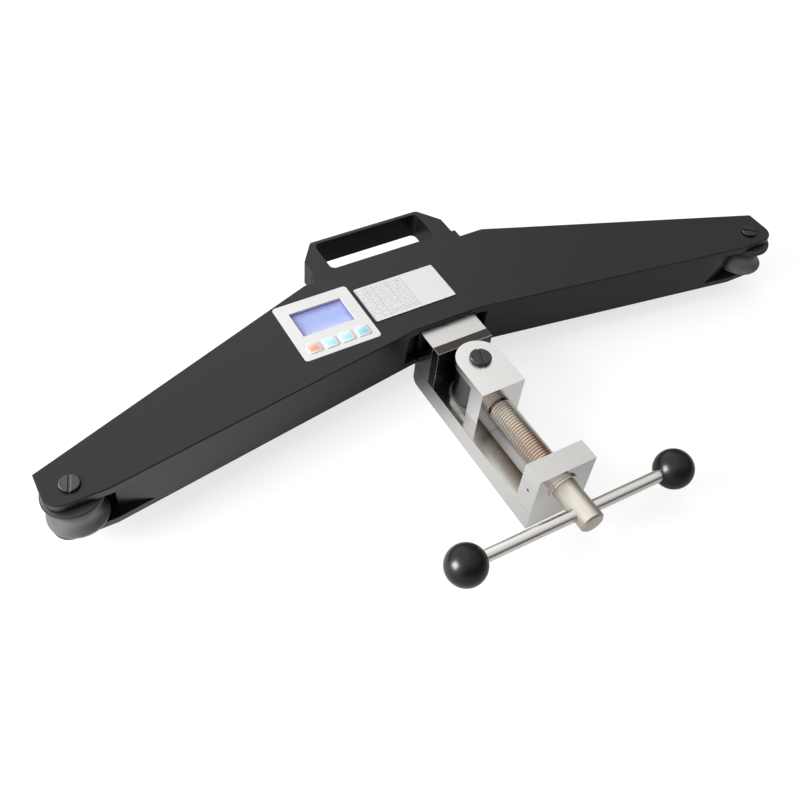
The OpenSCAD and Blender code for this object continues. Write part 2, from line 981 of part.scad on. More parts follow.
module tommy_bar() {
    color([0.78, 0.77, 0.75])
    placed()
    at_bar()
        rotate([0, 90, 0])
            cylinder(d = bar_d, h = bar_len + 2 * bar_end, center = true);
}

// Ball with a flat and a blind bore towards the bar's middle
module ball_knob() {
    rotate([0, 90, 0])
        rotate_extrude($fn = 96)
            difference() {
                intersection() {
                    circle(d = ball_d, $fn = 96);
                    translate([0, ball_flat - ball_d / 2])
                        square([ball_d, ball_d]);
                }
                translate([-over, -ball_d])
                    square([bar_d / 2 + over, ball_d + bar_end]);
            }
}

module ball_knob_left() {
    color([0.05, 0.05, 0.06])
    placed()
    at_bar()
        translate([-bar_len / 2, 0, 0])
            mirror([1, 0, 0])
                ball_knob();
}

module ball_knob_right() {
    color([0.05, 0.05, 0.06])
    placed()
    at_bar()
        translate([bar_len / 2, 0, 0])
            ball_knob();
}

// Display
function key_x(i) = panel_x + (i - 1.5) * key_pitch;

module display_bezel() {
    color([0.88, 0.88, 0.86])
    placed()
    translate([0, 0, panel_low])
        linear_extrude(panel_t)
            difference() {
                translate([panel_x, panel_y])
                    rounded_rect(panel_w, panel_depth, panel_r);
                translate([panel_x, screen_y])
                    square([screen_w, screen_depth], center = true);
                for (i = [0 : 3])
                    translate([key_x(i), key_y])
                        rounded_rect(key_w + 2 * pass_gap, key_depth + 2 * pass_gap, 2);
            }
}

module display_lens() {
    color([0.75, 0.8, 0.9, 0.4])
    placed()
    translate([panel_x, screen_y, panel_low - lens_t / 2])
        cube([screen_w + 5, screen_depth + 5, lens_t], center = true);
}

module lcd_module() {
    color([0.45, 0.5, 0.85])
    placed()
    translate([panel_x - screen_w / 2 - 2, screen_y - screen_depth / 2 - 2, board_top])
        cube([screen_w + 4, screen_depth + 4, panel_low - lens_t - 0.1 - board_top]);
}

module key(i) {
    translate([key_x(i), key_y, 0]) {
        translate([0, 0, panel_low - pass_gap - key_flange])
            linear_extrude(panel_t + key_proud + pass_gap + key_flange)
                rounded_rect(key_w, key_depth, 2 - pass_gap);
        translate([0, 0, panel_low - pass_gap - key_flange])
            linear_extrude(key_flange)
                square([key_w + 1.6, key_depth + 1.6], center = true);
        translate([0, 0, board_top + switch_h + key_travel + 0.2])
            cylinder(d = 4, h = panel_low - key_flange - board_top - switch_h - key_travel - 0.2);
    }
}

module key_power() {
    color([0.9, 0.55, 0.4])
    placed()
    key(0);
}

module key_zero() {
    color([0.65, 0.85, 0.9])
    placed()
    key(1);
}

module key_unit() {
    color([0.65, 0.85, 0.9])
    placed()
    key(2);
}

module key_hold() {
    color([0.6, 0.8, 0.9])
    placed()
    key(3);
}

module circuit_board() {
    color([0.1, 0.35, 0.2])
    placed()
    difference() {
        translate([panel_x, board_y, board_top - board_t / 2])
            cube([board_w, board_depth, board_t], center = true);
        for (p = board_spots)
            translate([p[0], p[1], board_top - 3])
                cylinder(d = 2.5 + 2 * screw_fit, h = 6);
    }
}

module tact_switches() {
    color([0.15, 0.15, 0.16])
    placed()
    for (i = [0 : 3])
        translate([key_x(i), key_y, board_top]) {
            translate([-3, -3, 0])
                cube([6, 6, switch_h - 1]);
            cylinder(d = 3.4, h = switch_h);
        }
}

module board_spacers() {
    color([0.75, 0.65, 0.35])
    placed()
    for (p = board_spots)
        translate([p[0], p[1], board_top])
            difference() {
                cylinder(d = 5, h = roof_low - board_top);
                translate([0, 0, -over])
                    cylinder(d = 2.5 + 2 * screw_fit, h = roof_low - board_top + 2 * over);
            }
}

module board_screws() {
    color([0.6, 0.6, 0.62])
    placed()
    for (p = board_spots)
        translate([p[0], p[1], board_top - board_t])
            rotate([180, 0, 0])
                socket_screw(2.5, board_t + roof_low - board_top + 3);
}

// Battery
module battery_holder() {
    color([0.1, 0.1, 0.11])
    placed()
    translate([tray_x - tray_w / 2, tray_y - tray_depth / 2, plate_top])
        difference() {
            cube([tray_w, tray_depth, 12]);
            translate([2, 2, 2])
                cube([tray_w - 4, tray_depth - 4, 12]);
        }
}

module battery_cells() {
    color([0.3, 0.45, 0.3])
    placed()
    for (i = [0 : cell_count - 1])
        translate([tray_x - cell_len / 2, tray_y + (i - (cell_count - 1) / 2) * cell_pitch, plate_top + 2])
            translate([0, 0, cell_d / 2])
                rotate([0, 90, 0])
                    cylinder(d = cell_d, h = cell_len);
}

module label_plate() {
    color([0.92, 0.92, 0.92])
    placed()
    translate([label_x, label_y, body_top - 0.3])
        linear_extrude(0.6)
            rounded_rect(label_w, label_depth, 1.5);
}

housing();
bottom_plate();
plate_screws();
sheave_left();
sheave_right();
sheave_bush_left();
sheave_bush_right();
axle_screws();
thrust_washers();
carry_handle();
handle_screws();
load_cell();
cell_screws();
clamp_frame();
clamp_bolts();
pressure_pad();
pad_screws();
yoke();
roller();
roller_bush();
roller_pin();
lead_screw();
retaining_pins();
thread_bush();
bush_set_screw();
tommy_bar();
ball_knob_left();
ball_knob_right();
display_bezel();
display_lens();
lcd_module();
key_power();
key_zero();
key_unit();
key_hold();
circuit_board();
tact_switches();
board_spacers();
board_screws();
battery_holder();
battery_cells();
label_plate();
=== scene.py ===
import json
import math
import bpy
from mathutils import Matrix, Vector

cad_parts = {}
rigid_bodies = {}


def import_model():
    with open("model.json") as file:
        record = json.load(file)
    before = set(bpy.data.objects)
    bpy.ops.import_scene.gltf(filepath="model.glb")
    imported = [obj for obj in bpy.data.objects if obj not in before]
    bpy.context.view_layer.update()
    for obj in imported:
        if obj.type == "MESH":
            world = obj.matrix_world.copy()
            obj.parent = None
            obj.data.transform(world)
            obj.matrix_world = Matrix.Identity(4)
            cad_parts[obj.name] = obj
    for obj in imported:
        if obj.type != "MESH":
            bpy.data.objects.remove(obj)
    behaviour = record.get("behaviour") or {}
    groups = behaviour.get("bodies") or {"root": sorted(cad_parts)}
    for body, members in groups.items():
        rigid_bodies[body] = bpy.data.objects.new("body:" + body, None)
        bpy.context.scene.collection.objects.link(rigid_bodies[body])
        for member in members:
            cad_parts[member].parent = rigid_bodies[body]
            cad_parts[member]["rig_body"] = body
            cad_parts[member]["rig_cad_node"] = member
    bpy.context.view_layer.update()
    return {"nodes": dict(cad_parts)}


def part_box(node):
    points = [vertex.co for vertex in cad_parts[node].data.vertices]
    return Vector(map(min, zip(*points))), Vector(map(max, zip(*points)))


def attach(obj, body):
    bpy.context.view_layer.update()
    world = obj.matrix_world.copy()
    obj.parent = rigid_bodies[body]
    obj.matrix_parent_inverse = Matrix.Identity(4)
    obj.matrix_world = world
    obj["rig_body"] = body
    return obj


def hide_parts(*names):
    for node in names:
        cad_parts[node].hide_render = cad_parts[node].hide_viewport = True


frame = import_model()
nodes = frame["nodes"]
print("frame loaded with", len(nodes), "nodes")


# small helpers for objects
def deselectAll():
    if bpy.context.mode != "OBJECT":
        bpy.ops.object.mode_set(mode="OBJECT")
    bpy.ops.object.select_all(action="DESELECT")


def pickOnly(piece):
    deselectAll()
    piece.select_set(True)
    bpy.context.view_layer.objects.active = piece


def applyModifier(piece, kind, **settings):
    pickOnly(piece)
    modifier = piece.modifiers.new(kind.lower(), kind)
    for key, value in settings.items():
        setattr(modifier, key, value)
    bpy.ops.object.modifier_apply(modifier=modifier.name)


def smoothByAngle(piece, degrees):
    pickOnly(piece)
    bpy.ops.object.shade_smooth_by_angle(angle=math.radians(degrees))


def copyOfNode(nodeName, pieceName):
    # a merged copy of a CAD node, with its flat faces made whole again
    pickOnly(nodes[nodeName])
    bpy.ops.object.duplicate()
    piece = bpy.context.active_object
    piece.name = pieceName
    bpy.ops.object.parent_clear(type="CLEAR_KEEP_TRANSFORM")
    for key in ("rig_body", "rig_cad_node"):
        del piece[key]
    bpy.ops.object.mode_set(mode="EDIT")
    bpy.ops.mesh.select_all(action="SELECT")
    bpy.ops.mesh.customdata_custom_splitnormals_clear()
    bpy.ops.mesh.remove_doubles(threshold=1e-6)
    bpy.ops.mesh.dissolve_limited(angle_limit=math.radians(0.4), delimit={"NORMAL"})
    bpy.ops.object.mode_set(mode="OBJECT")
    return piece


def dress(piece, *materials):
    piece.data.materials.clear()
    for material in materials:
        piece.data.materials.append(material)


def standFor(piece, nodeName):
    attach(piece, nodes[nodeName]["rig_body"])
    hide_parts(nodeName)


def paintNode(material, *nodeNames):
    for nodeName in nodeNames:
        dress(nodes[nodeName], material)


# small helpers for materials
def startMaterial(name, colour, roughness, metallic=0.0):
    material = bpy.data.materials.new(name)
    material.use_nodes = True
    shader = material.node_tree.nodes["Principled BSDF"]
    shader.inputs["Base Color"].default_value = (*colour, 1)
    shader.inputs["Roughness"].default_value = roughness
    shader.inputs["Metallic"].default_value = metallic
    return material, material.node_tree, shader


def objectPlace(tree, scale=(1, 1, 1), centre=(0, 0, 0)):
    coords = tree.nodes.new("ShaderNodeTexCoord")
    mapping = tree.nodes.new("ShaderNodeMapping")
    mapping.inputs["Scale"].default_value = scale
    mapping.inputs["Location"].default_value = [-c * s for c, s in zip(centre, scale)]
    tree.links.new(coords.outputs["Object"], mapping.inputs["Vector"])
    return mapping.outputs["Vector"]


def noiseField(tree, place, scale, detail=2.0):
    node = tree.nodes.new("ShaderNodeTexNoise")
    node.inputs["Scale"].default_value = scale
    node.inputs["Detail"].default_value = detail
    tree.links.new(place, node.inputs["Vector"])
    return node.outputs["Fac"]


def remap(tree, value, low, high, newLow, newHigh):
    node = tree.nodes.new("ShaderNodeMapRange")
    names = ("From Min", "From Max", "To Min", "To Max")
    for key, number in zip(names, (low, high, newLow, newHigh)):
        node.inputs[key].default_value = number
    tree.links.new(value, node.inputs["Value"])
    return node.outputs["Result"]


def blendColours(tree, factor, first, second):
    node = tree.nodes.new("ShaderNodeMix")
    node.data_type = "RGBA"
    tree.links.new(factor, node.inputs[0])
    for socket, colour in ((node.inputs[6], first), (node.inputs[7], second)):
        if isinstance(colour, tuple):
            socket.default_value = (*colour, 1)
        else:
            tree.links.new(colour, socket)
    return node.outputs[2]


def calc(tree, operation, *values):
    node = tree.nodes.new("ShaderNodeMath")
    node.operation = operation
    for socket, value in zip(node.inputs, values):
        if isinstance(value, (int, float)):
            socket.default_value = value
        else:
            tree.links.new(value, socket)
    return node.outputs["Value"]


def addBump(tree, shader, height, strength, distance):
    node = tree.nodes.new("ShaderNodeBump")
    node.inputs["Strength"].default_value = strength
    node.inputs["Distance"].default_value = distance
    tree.links.new(height, node.inputs["Height"])
    tree.links.new(node.outputs["Normal"], shader.inputs["Normal"])


def splitAxes(tree, place):
    node = tree.nodes.new("ShaderNodeSeparateXYZ")
    tree.links.new(place, node.inputs["Vector"])
    return node.outputs["X"], node.outputs["Y"], node.outputs["Z"]


def facesUp(tree):
    coords = tree.nodes.new("ShaderNodeTexCoord")
    x, y, z = splitAxes(tree, coords.outputs["Normal"])
    return calc(tree, "GREATER_THAN", z, 0.95)


# finishes
def blackPaint(name, dark, light, roughLow, roughHigh, sheen=0.29):
    # sprayed satin paint: faint orange peel and a slow change of sheen
    material, tree, shader = startMaterial(name, dark, roughLow)
    place = objectPlace(tree)
    slow = noiseField(tree, place, 14, 3)
    peel = noiseField(tree, place, 1500, 1)
    tree.links.new(blendColours(tree, slow, dark, light), shader.inputs["Base Color"])
    tree.links.new(remap(tree, slow, 0.3, 0.7, roughLow, roughHigh), shader.inputs["Roughness"])
    shader.inputs["Specular IOR Level"].default_value = sheen
    addBump(tree, shader, peel, 0.08, 0.0002)
    return material


def brushedMetal(name, dark, light, roughLow, roughHigh, stretch, strength=0.05, satinTop=0.0):
    # ground and plated metal: streaks run along the axis with the smallest stretch
    # satinTop makes the faces that look straight up duller
    material, tree, shader = startMaterial(name, light, roughLow, 1.0)
    streaks = noiseField(tree, objectPlace(tree, stretch), 1, 3)
    cloud = noiseField(tree, objectPlace(tree), 45, 3)
    tone = calc(tree, "MULTIPLY_ADD", streaks, 0.6, calc(tree, "MULTIPLY", cloud, 0.4))
    tree.links.new(blendColours(tree, tone, dark, light), shader.inputs["Base Color"])
    rough = remap(tree, tone, 0.3, 0.7, roughLow, roughHigh)
    if satinTop > 0:
        rough = calc(tree, "MULTIPLY_ADD", facesUp(tree), satinTop, rough)
    tree.links.new(rough, shader.inputs["Roughness"])
    addBump(tree, shader, streaks, strength, 0.0001)
    return material


def mouldedPlastic(name, dark, light, roughLow, roughHigh, grain=900, sheen=0.38):
    material, tree, shader = startMaterial(name, dark, roughLow)
    place = objectPlace(tree)
    slow = noiseField(tree, place, 25, 2)
    tree.links.new(blendColours(tree, slow, dark, light), shader.inputs["Base Color"])
    tree.links.new(remap(tree, slow, 0.3, 0.7, roughLow, roughHigh), shader.inputs["Roughness"])
    shader.inputs["Specular IOR Level"].default_value = sheen
    addBump(tree, shader, noiseField(tree, place, grain, 2), 0.05, 0.0001)
    return material


frameLook = {
    "plateDark": (0.60, 0.592, 0.575),
    "plateLight": (0.66, 0.652, 0.638),
    "wornDark": (0.29, 0.285, 0.27),
    "wornLight": (0.68, 0.67, 0.645),
    # painted shade on the rubbed base top near the pad
    "padShade": (0.045, 0.052, 0.048),
    "padShadeMost": 0.9,
    "padShadeStart": 0.012,
    "padShadeFull": 0.042,
    "polishLow": 0.10,
    "polishHigh": 0.18,
    "satinTop": 0.26,
    "slidRough": 0.10,
    "baseTop": 0.019,
    "topDepth": 0.0003,
    "grainStretch": (900, 45, 900),
    "patchStretch": (1.6, 0.5, 1),
    "patchScale": 60,
}


def frameFinish():
    # polished nickel plate; the top of the base is rubbed dull where the yoke slides, and painted shade
    # darkens it towards the pad, under the yoke
    s = frameLook
    material, tree, shader = startMaterial("frameFinish", s["plateDark"], s["polishLow"], 1.0)
    x, y, z = splitAxes(tree, objectPlace(tree))
    grain = noiseField(tree, objectPlace(tree, s["grainStretch"]), 1, 4)
    patches = noiseField(tree, objectPlace(tree, s["patchStretch"]), s["patchScale"], 3)
    offset = calc(tree, "ABSOLUTE", calc(tree, "SUBTRACT", z, s["baseTop"]))
    rubbed = calc(tree, "LESS_THAN", offset, s["topDepth"])
    dull = calc(tree, "MULTIPLY", rubbed, remap(tree, patches, 0.35, 0.65, 0.35, 1.0))
    plate = blendColours(tree, patches, s["plateDark"], s["plateLight"])
    worn = blendColours(tree, grain, s["wornDark"], s["wornLight"])
    # painted shade: the rubbed top is darkened towards the pad, where the yoke and roller shade it
    nearPad = remap(tree, y, s["padShadeStart"], s["padShadeFull"], 0, s["padShadeMost"])
    wornAndShaded = blendColours(tree, calc(tree, "MULTIPLY", rubbed, nearPad), worn, s["padShade"])
    tree.links.new(blendColours(tree, dull, plate, wornAndShaded), shader.inputs["Base Color"])
    polish = remap(tree, patches, 0.3, 0.7, s["polishLow"], s["polishHigh"])
    satin = calc(tree, "MULTIPLY", calc(tree, "SUBTRACT", facesUp(tree), rubbed), s["satinTop"])
    slid = calc(tree, "MULTIPLY", rubbed, s["slidRough"])
    rough = calc(tree, "ADD", polish, calc(tree, "ADD", satin, slid))
    tree.links.new(rough, shader.inputs["Roughness"])
    addBump(tree, shader, calc(tree, "MULTIPLY", grain, rubbed), 0.04, 0.0001)
    return material


sheaveLook = {
    # painted shade: the dark steel is laid on the upper part, under the roof's overhang; the lighter
    # grey is the sheave's own steel
    "paintedShade": (0.033, 0.034, 0.034),
    "rubbed": (0.160, 0.160, 0.155),
    "shadeFullAbove": 0.0500,
    "shadeNoneBelow": 0.0425,
    "ragged": 0.0012,
    "metallic": 0.35,
    "roughLow": 0.42,
    "roughHigh": 0.52,
    "ringStretch": (60, 60, 900),
}


def sheaveFinish():
    # grey steel, with painted shade darkening it from the middle of the groove up to the upper flange,
    # under the roof's overhang
    s = sheaveLook
    material, tree, shader = startMaterial("sheaveFinish", s["rubbed"], s["roughLow"], s["metallic"])
    x, y, z = splitAxes(tree, objectPlace(tree))
    rings = noiseField(tree, objectPlace(tree, s["ringStretch"]), 1, 3)
    cloud = noiseField(tree, objectPlace(tree), 90, 3)
    height = calc(tree, "ADD", z, remap(tree, cloud, 0.3, 0.7, -s["ragged"], s["ragged"]))
    # painted shade above the middle of the groove
    pale = remap(tree, height, s["shadeFullAbove"], s["shadeNoneBelow"], 0, 1)
    tone = calc(tree, "MULTIPLY", pale, remap(tree, rings, 0.3, 0.7, 0.78, 1.0))
    tree.links.new(blendColours(tree, tone, s["paintedShade"], s["rubbed"]), shader.inputs["Base Color"])
    rough = remap(tree, rings, 0.3, 0.7, s["roughLow"], s["roughHigh"])
    tree.links.new(rough, shader.inputs["Roughness"])
    addBump(tree, shader, rings, 0.03, 0.0001)
    return material


bodyPaint = blackPaint("bodyPaint", (0.0080, 0.0083, 0.0090), (0.0115, 0.0118, 0.0125), 0.27, 0.34)
handleFinish = blackPaint("handleFinish", (0.0075, 0.0076, 0.0080), (0.0110, 0.0112, 0.0116), 0.28, 0.36)
frameNickel = frameFinish()
sheaveSteel = sheaveFinish()
yokeNickel = brushedMetal("yokeNickel", (0.68, 0.675, 0.66), (0.74, 0.735, 0.72), 0.08, 0.16,
                          (900, 45, 900), 0.006, 0.24)
rollerSteel = brushedMetal("rollerSteel", (0.07, 0.076, 0.072), (0.12, 0.128, 0.12), 0.22, 0.30,
                           (40, 40, 900), 0.03)
barSteel = brushedMetal("barSteel", (0.76, 0.735, 0.69), (0.90, 0.875, 0.83), 0.20, 0.28,
                        (20, 900, 900), 0.02)
ringSteel = brushedMetal("ringSteel", (0.55, 0.50, 0.43), (0.76, 0.72, 0.66), 0.12, 0.22,
                         (300, 300, 300))
blackedSteel = brushedMetal("blackedSteel", (0.045, 0.046, 0.047), (0.075, 0.076, 0.077), 0.26, 0.36,
                            (400, 400, 400))
# paler broken edges: partly wear, partly a painted highlight along them
wornAndLitEdge = brushedMetal("wornAndLitEdge", (0.70, 0.69, 0.67), (0.84, 0.83, 0.81), 0.24, 0.34,
                        (200, 200, 200))
padSteel = brushedMetal("padSteel", (0.046, 0.042, 0.039), (0.066, 0.059, 0.055), 0.24, 0.34,
                        (500, 40, 500))
zincSteel = brushedMetal("zincSteel", (0.42, 0.43, 0.44), (0.56, 0.57, 0.58), 0.3, 0.4,
                         (300, 300, 300))
bronzeBush = brushedMetal("bronzeBush", (0.42, 0.27, 0.12), (0.58, 0.39, 0.19), 0.32, 0.42,
                          (500, 500, 500))
cellMetal = brushedMetal("cellMetal", (0.020, 0.020, 0.021), (0.032, 0.032, 0.033), 0.4, 0.5,
                         (30, 800, 800))
knobGloss = mouldedPlastic("knobGloss", (0.006, 0.006, 0.006), (0.009, 0.009, 0.009), 0.24, 0.30,
                           120, 0.26)
trayPlastic = mouldedPlastic("trayPlastic", (0.012, 0.012, 0.013), (0.02, 0.02, 0.021), 0.45, 0.6)
boardMask = mouldedPlastic("boardMask", (0.008, 0.06, 0.025), (0.012, 0.085, 0.035), 0.3, 0.4, 400)
cellWrap = mouldedPlastic("cellWrap", (0.02, 0.06, 0.035), (0.03, 0.085, 0.05), 0.2, 0.3, 200)
print("plain finishes made")


# display panel, screen, keys and label
panelLook = {
    "face": (0.71, 0.715, 0.70),
    "shade": (0.65, 0.655, 0.64),
    "screenMiddle": (0.25, 0.33, 0.66),
    "screenLow": (0.42, 0.48, 0.76),
    # violet: partly the screen's tint, partly painted shade of the bezel recess
    "screenEdgeShade": (0.12, 0.10, 0.46),
    "screenGlow": 0.15,
    "screenRim": 0.002,
    "keyWhite": (0.80, 0.80, 0.775),
    "keyRim": 0.0008,
    "keyEdge": 0.0004,
    "keyColours": {
        "key_power": (0.84, 0.32, 0.18),
        "key_zero": (0.33, 0.67, 0.74),
        "key_unit": (0.31, 0.67, 0.75),
        "key_hold": (0.27, 0.64, 0.78),
    },
}


def screenFinish():
    # back-lit screen: paler towards the front, violet near the other three edges, partly the screen's
    # own tint and partly painted shade of the bezel
    low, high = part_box("lcd_module")
    centre = (low + high) / 2
    halfX = (high.x - low.x) / 2 - panelLook["screenRim"]
    halfY = (high.y - low.y) / 2 - panelLook["screenRim"]
    material, tree, shader = startMaterial("screenFinish", panelLook["screenMiddle"], 0.3)
    place = objectPlace(tree, (1 / halfX, 1 / halfY, 1), (centre.x, centre.y, 0))
    x, y, z = splitAxes(tree, place)
    front = remap(tree, y, -0.2, -1.0, 0, 1)
    sides = remap(tree, calc(tree, "ABSOLUTE", x), 0.80, 1.0, 0, 1)
    back = remap(tree, y, 0.50, 0.98, 0, 1)
    edge = calc(tree, "MAXIMUM", sides, back)
    pale = blendColours(tree, front, panelLook["screenMiddle"], panelLook["screenLow"])
    colour = blendColours(tree, edge, pale, panelLook["screenEdgeShade"])
    tree.links.new(colour, shader.inputs["Base Color"])
    tree.links.new(colour, shader.inputs["Emission Color"])
    shader.inputs["Emission Strength"].default_value = panelLook["screenGlow"]
    return material


def keyFinish(nodeName):
    # soft-edged print: the colour fades to the panel's white at the rim of the cap
    low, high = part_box(nodeName)
    centre = (low + high) / 2
    halfX = (high.x - low.x) / 2 - panelLook["keyRim"]
    halfY = (high.y - low.y) / 2 - panelLook["keyRim"]
    colour = panelLook["keyColours"][nodeName]
    material, tree, shader = startMaterial(nodeName + "Print", colour, 0.42)
    place = objectPlace(tree, (1 / halfX, 1 / halfY, 1), (centre.x, centre.y, 0))
    x, y, z = splitAxes(tree, place)
    rim = calc(tree, "MAXIMUM", calc(tree, "ABSOLUTE", x), calc(tree, "ABSOLUTE", y))
    fade = remap(tree, rim, 0.42, 1.05, 0, 1)
    top = remap(tree, y, -0.1, 0.7, 0.05, 0.58)
    white = calc(tree, "MAXIMUM", fade, top)
    grain = noiseField(tree, objectPlace(tree), 600, 2)
    soft = calc(tree, "ADD", white, remap(tree, grain, 0.3, 0.7, -0.05, 0.05))
    printed = blendColours(tree, soft, colour, panelLook["keyWhite"])
    tree.links.new(printed, shader.inputs["Base Color"])
    return material


labelLook = {
    "face": (0.67, 0.67, 0.67),
    "ink": (0.16, 0.16, 0.17),
    "rows": 9,
    "columns": (-0.0285, -0.0225, -0.0085, 0.0055),
    "tableEnd": 0.0058,
    "margin": 0.0015,
    "border": 0.002,
    "line": 0.00022,
    "rowLine": 0.04,
    "dashStretch": (420, 260, 0),
    "dashFrom": 0.36,
    "dashShare": 0.50,
    "dashGap": 0.0013,
    "dashInk": 0.6,
}


def labelFinish():
    # printed foil: a ruled table on its left part, with plain grey dashes for its entries
    s = labelLook
    low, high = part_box("label_plate")
    centre = (low + high) / 2
    halfY = (high.y - low.y) / 2
    material, tree, shader = startMaterial("labelFinish", s["face"], 0.38)
    x, y, z = splitAxes(tree, objectPlace(tree, (1, 1, 1), (centre.x, centre.y, 0)))
    pitch = 2 * (halfY - s["margin"]) / s["rows"]
    row = calc(tree, "DIVIDE", calc(tree, "ADD", y, halfY - s["margin"]), pitch)
    fromMiddle = calc(tree, "ABSOLUTE", calc(tree, "SUBTRACT", calc(tree, "FRACT", row), 0.5))
    ink = calc(tree, "LESS_THAN", fromMiddle, s["rowLine"])
    blots = noiseField(tree, objectPlace(tree, s["dashStretch"]), 1, 2)
    dash = calc(tree, "MULTIPLY", calc(tree, "GREATER_THAN", fromMiddle, s["dashFrom"]),
                calc(tree, "GREATER_THAN", blots, s["dashShare"]))
    for column in s["columns"]:
        offset = calc(tree, "ABSOLUTE", calc(tree, "SUBTRACT", x, column))
        dash = calc(tree, "MULTIPLY", dash, calc(tree, "GREATER_THAN", offset, s["dashGap"]))
        ink = calc(tree, "MAXIMUM", ink, calc(tree, "LESS_THAN", offset, s["line"]))
    ink = calc(tree, "MAXIMUM", ink, calc(tree, "MULTIPLY", dash, s["dashInk"]))
    inTable = calc(tree, "LESS_THAN", x, s["tableEnd"])
    inBorder = calc(tree, "LESS_THAN", calc(tree, "ABSOLUTE", y), halfY - s["border"])
    ink = calc(tree, "MULTIPLY", calc(tree, "MULTIPLY", ink, inTable), inBorder)
    worn = remap(tree, noiseField(tree, objectPlace(tree), 300, 2), 0.3, 0.7, 0.45, 0.85)
    printed = blendColours(tree, calc(tree, "MULTIPLY", ink, worn), s["face"], s["ink"])
    tree.links.new(printed, shader.inputs["Base Color"])
    return material


def lensFinish():
    # clear window with faint smears
    material, tree, shader = startMaterial("lensFinish", (0.75, 0.80, 0.95), 0.08)
    smears = noiseField(tree, objectPlace(tree, (1, 2.5, 1)), 90, 3)
    tree.links.new(remap(tree, smears, 0.4, 0.7, 0.05, 0.16), shader.inputs["Roughness"])
    shader.inputs["Alpha"].default_value = 0.12
    return material


panelFinish = mouldedPlastic("panelFinish", panelLook["shade"], panelLook["face"], 0.32, 0.42, 1200)
paintNode(screenFinish(), "lcd_module")
paintNode(lensFinish(), "display_lens")
paintNode(labelFinish(), "label_plate")
print("display and label finished")


# edges are broken as on the real pieces: piece, width, segments and finish
# a second, paler finish is laid on the broken edge: partly wear, partly a painted highlight along it
sharpAngle = 40
edgeBreaks = {
    "housing": ("bodyShell", 0.0011, 3, [bodyPaint]),
    "bottom_plate": ("bottomCover", 0.0007, 2, [bodyPaint]),
    "carry_handle": ("carryHandle", 0.0012, 3, [handleFinish]),
    "clamp_frame": ("clampFrame", 0.0007, 2, [frameNickel, wornAndLitEdge]),
    "yoke": ("yokeBlock", 0.0004, 2, [yokeNickel]),
    "pressure_pad": ("pressurePad", 0.0007, 2, [padSteel, wornAndLitEdge]),
    "display_bezel": ("displayPanel", 0.0002, 2, [panelFinish]),
    "sheave_left": ("sheaveLeft", 0, 0, [sheaveSteel]),
    "sheave_right": ("sheaveRight", 0, 0, [sheaveSteel]),
    "roller": ("clampRoller", 0.0010, 3, [rollerSteel]),
    "axle_screws": ("axleScrews", 0.0006, 3, [blackedSteel]),
    "roller_pin": ("rollerPin", 0.0006, 3, [blackedSteel]),
    "thread_bush": ("threadBush", 0.0003, 2, [ringSteel]),
    "tommy_bar": ("tommyBar", 0.0004, 2, [barSteel]),
}


roofOutline = {
    "recesses": ("display_bezel", "label_plate"),
    "recessRim": 0.002,
    "axles": ("sheave_left", "sheave_right"),
    "axleReach": 0.012,
    "roofDepth": 0.0002,
}


def onRoofOutline(a, b, roof, recesses, axles):
    # an edge of the roof that isn't at a recess or an axle hole
    rim = roofOutline["recessRim"]
    middle = (a + b) / 2
    for low, high in recesses:
        if low.x - rim < middle.x < high.x + rim and low.y - rim < middle.y < high.y + rim:
            return False
    if any((middle - axle).xy.length < roofOutline["axleReach"] for axle in axles):
        return False
    return min(a.z, b.z) >= roof


def markRoofOutline(piece):
    # only the outline of the roof is broken: the recesses and the axle holes in it stay sharp
    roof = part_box("housing")[1].z - roofOutline["roofDepth"]
    recesses = [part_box(name) for name in roofOutline["recesses"]]
    axles = [(low + high) / 2 for low, high in (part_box(name) for name in roofOutline["axles"])]
    pickOnly(piece)
    bpy.ops.object.mode_set(mode="EDIT")
    bpy.ops.mesh.select_mode(type="EDGE")
    bpy.ops.mesh.select_all(action="DESELECT")
    bpy.ops.mesh.edges_select_sharp(sharpness=math.radians(sharpAngle))
    bpy.ops.object.mode_set(mode="OBJECT")
    points = piece.data.vertices
    for edge in piece.data.edges:
        a, b = (points[index].co for index in edge.vertices)
        if not onRoofOutline(a, b, roof, recesses, axles):
            edge.select = False
    bpy.ops.object.mode_set(mode="EDIT")
    bpy.ops.transform.edge_bevelweight(value=1.0)
    bpy.ops.mesh.select_mode(type="VERT")
    bpy.ops.object.mode_set(mode="OBJECT")


for nodeName, (pieceName, width, segments, materials) in edgeBreaks.items():
    piece = copyOfNode(nodeName, pieceName)
    dress(piece, *materials)
    if nodeName == "housing":
        markRoofOutline(piece)
        applyModifier(piece, "BEVEL", width=width, segments=segments, limit_method="WEIGHT",
                      use_clamp_overlap=False)
    elif width > 0:
        applyModifier(piece, "BEVEL", width=width, segments=segments, limit_method="ANGLE",
                      angle_limit=math.radians(sharpAngle), material=len(materials) - 1)
    smoothByAngle(piece, sharpAngle)
    applyModifier(piece, "WEIGHTED_NORMAL", keep_sharp=True)
    standFor(piece, nodeName)
print("edges broken on", len(edgeBreaks), "pieces")

for nodeName in panelLook["keyColours"]:
    piece = copyOfNode(nodeName, nodeName + "Cap")
    applyModifier(piece, "BEVEL", width=panelLook["keyEdge"], segments=2, limit_method="ANGLE",
                  angle_limit=math.radians(sharpAngle))
    smoothByAngle(piece, 50)
    dress(piece, keyFinish(nodeName))
    standFor(piece, nodeName)


